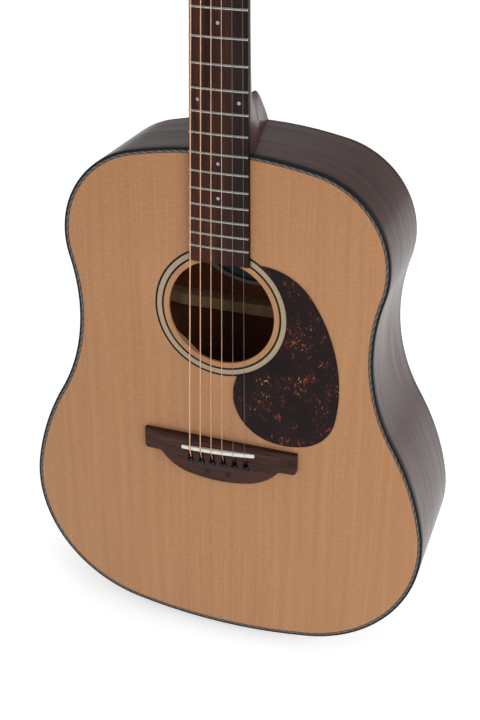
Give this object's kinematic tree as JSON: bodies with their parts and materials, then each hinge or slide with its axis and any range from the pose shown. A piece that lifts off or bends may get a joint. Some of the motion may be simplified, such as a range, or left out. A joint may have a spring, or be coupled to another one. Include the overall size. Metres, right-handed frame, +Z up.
{
  "type": "acoustic guitar",
  "caption": "Flat-top steel-string acoustic guitar with a round soundhole, pickguard, pinned belly bridge, fretted neck, tuning machines that turn and bridge pins that pull out.",
  "frame": {"origin": "point on the centre line, in the plane of the soundboard's top face, level with the edge of the nut where the strings start; it lies inside the neck where a hanger's yoke holds it", "axes": "+Z up along the neck towards the headstock, front of the soundboard towards -Y, treble side towards +X"},
  "size_m": [0.3982, 0.1406, 1.0604],
  "materials": {
    "spruce_top": "satin",
    "mahogany": "satin",
    "inner_mahogany": "bare",
    "inner_spruce": "bare",
    "black_binding": "satin",
    "rope_purfling": "satin",
    "rosette_inlay": "satin",
    "tortoise": "gloss",
    "rosewood": "open pored",
    "bone": "polished",
    "bolt_steel": "plain",
    "black_plastic": "gloss",
    "label_paper": "matt",
    "fret_wire": "polished",
    "pearl": "pearly",
    "plain_steel": "bright",
    "bronze_wound": "wound",
    "chrome": "polished"
  },
  "bodies": {
    "guitar": {"rib_bass": "mahogany", "rib_treble": "mahogany", "soundboard": "spruce_top", "back_plate": "mahogany", "neck_block": "inner_mahogany", "tail_block": "inner_mahogany", "top_lining": "inner_spruce", "back_lining": "inner_spruce", "top_binding": "black_binding", "top_purfling": "rope_purfling", "back_binding": "black_binding", "rosette": "rosette_inlay", "pickguard": "tortoise", "bridge": "rosewood", "saddle": "bone", "bridge_plate": "inner_mahogany", "x_brace": "inner_spruce", "top_braces": "inner_spruce", "back_braces": "inner_spruce", "label": "label_paper", "tail_strip": "black_binding", "strap_pin": "black_plastic", "bridge_bolts": "bolt_steel", "bridge_dots": "black_plastic", "neck": "mahogany", "heel_cap": "black_binding", "headplate": "rosewood", "fingerboard": "rosewood", "frets": "fret_wire", "inlay_dots": "pearl", "nut": "bone", "truss_rod": "bolt_steel", "tuner_housings": "chrome", "tuner_bushings": "chrome", "tuner_screws": "chrome", "string_1": "plain_steel", "string_2": "plain_steel", "string_3": "bronze_wound", "string_4": "bronze_wound", "string_5": "bronze_wound", "string_6": "bronze_wound"},
    "tuner_key_1": {"tuner_key_1": "chrome"},
    "tuner_key_2": {"tuner_key_2": "chrome"},
    "tuner_key_3": {"tuner_key_3": "chrome"},
    "tuner_key_4": {"tuner_key_4": "chrome"},
    "tuner_key_5": {"tuner_key_5": "chrome"},
    "tuner_key_6": {"tuner_key_6": "chrome"},
    "tuner_post_1": {"tuner_post_1": "chrome"},
    "tuner_post_2": {"tuner_post_2": "chrome"},
    "tuner_post_3": {"tuner_post_3": "chrome"},
    "tuner_post_4": {"tuner_post_4": "chrome"},
    "tuner_post_5": {"tuner_post_5": "chrome"},
    "tuner_post_6": {"tuner_post_6": "chrome"},
    "bridge_pin_1": {"bridge_pin_1": "black_plastic"},
    "bridge_pin_2": {"bridge_pin_2": "black_plastic"},
    "bridge_pin_3": {"bridge_pin_3": "black_plastic"},
    "bridge_pin_4": {"bridge_pin_4": "black_plastic"},
    "bridge_pin_5": {"bridge_pin_5": "black_plastic"},
    "bridge_pin_6": {"bridge_pin_6": "black_plastic"}
  },
  "joints": [
    {"name": "key_1_turn", "type": "hinge", "parent": "guitar", "child": "tuner_key_1", "pos_m": [0.03, 0.02692, 0.03582], "axis": [1, 0, 0], "continuous": true},
    {"name": "key_2_turn", "type": "hinge", "parent": "guitar", "child": "tuner_key_2", "pos_m": [0.03, 0.03659, 0.07463], "axis": [1, 0, 0], "continuous": true},
    {"name": "key_3_turn", "type": "hinge", "parent": "guitar", "child": "tuner_key_3", "pos_m": [0.03, 0.04627, 0.11344], "axis": [1, 0, 0], "continuous": true},
    {"name": "key_4_turn", "type": "hinge", "parent": "guitar", "child": "tuner_key_4", "pos_m": [-0.03, 0.04627, 0.11344], "axis": [-1, 0, 0], "continuous": true},
    {"name": "key_5_turn", "type": "hinge", "parent": "guitar", "child": "tuner_key_5", "pos_m": [-0.03, 0.03659, 0.07463], "axis": [-1, 0, 0], "continuous": true},
    {"name": "key_6_turn", "type": "hinge", "parent": "guitar", "child": "tuner_key_6", "pos_m": [-0.03, 0.02692, 0.03582], "axis": [-1, 0, 0], "continuous": true},
    {"name": "post_1_turn", "type": "hinge", "parent": "guitar", "child": "tuner_post_1", "pos_m": [0.024, 0.00889, 0.04866], "axis": [0, -0.9703, 0.2419], "continuous": true},
    {"name": "post_2_turn", "type": "hinge", "parent": "guitar", "child": "tuner_post_2", "pos_m": [0.024, 0.01856, 0.08747], "axis": [0, -0.9703, 0.2419], "continuous": true},
    {"name": "post_3_turn", "type": "hinge", "parent": "guitar", "child": "tuner_post_3", "pos_m": [0.024, 0.02824, 0.12629], "axis": [0, -0.9703, 0.2419], "continuous": true},
    {"name": "post_4_turn", "type": "hinge", "parent": "guitar", "child": "tuner_post_4", "pos_m": [-0.024, 0.02824, 0.12629], "axis": [0, -0.9703, 0.2419], "continuous": true},
    {"name": "post_5_turn", "type": "hinge", "parent": "guitar", "child": "tuner_post_5", "pos_m": [-0.024, 0.01856, 0.08747], "axis": [0, -0.9703, 0.2419], "continuous": true},
    {"name": "post_6_turn", "type": "hinge", "parent": "guitar", "child": "tuner_post_6", "pos_m": [-0.024, 0.00889, 0.04866], "axis": [0, -0.9703, 0.2419], "continuous": true},
    {"name": "pin_1_pull", "type": "slide", "parent": "guitar", "child": "bridge_pin_1", "axis": [0, -1, 0], "range_m": [0, 0.03]},
    {"name": "pin_2_pull", "type": "slide", "parent": "guitar", "child": "bridge_pin_2", "axis": [0, -1, 0], "range_m": [0, 0.03]},
    {"name": "pin_3_pull", "type": "slide", "parent": "guitar", "child": "bridge_pin_3", "axis": [0, -1, 0], "range_m": [0, 0.03]},
    {"name": "pin_4_pull", "type": "slide", "parent": "guitar", "child": "bridge_pin_4", "axis": [0, -1, 0], "range_m": [0, 0.03]},
    {"name": "pin_5_pull", "type": "slide", "parent": "guitar", "child": "bridge_pin_5", "axis": [0, -1, 0], "range_m": [0, 0.03]},
    {"name": "pin_6_pull", "type": "slide", "parent": "guitar", "child": "bridge_pin_6", "axis": [0, -1, 0], "range_m": [0, 0.03]}
  ],
  "couplings": [
    {"joint": "post_1_turn", "follows": "key_1_turn", "ratio": 0.071429},
    {"joint": "post_2_turn", "follows": "key_2_turn", "ratio": 0.071429},
    {"joint": "post_3_turn", "follows": "key_3_turn", "ratio": 0.071429},
    {"joint": "post_4_turn", "follows": "key_4_turn", "ratio": 0.071429},
    {"joint": "post_5_turn", "follows": "key_5_turn", "ratio": 0.071429},
    {"joint": "post_6_turn", "follows": "key_6_turn", "ratio": 0.071429}
  ]
}
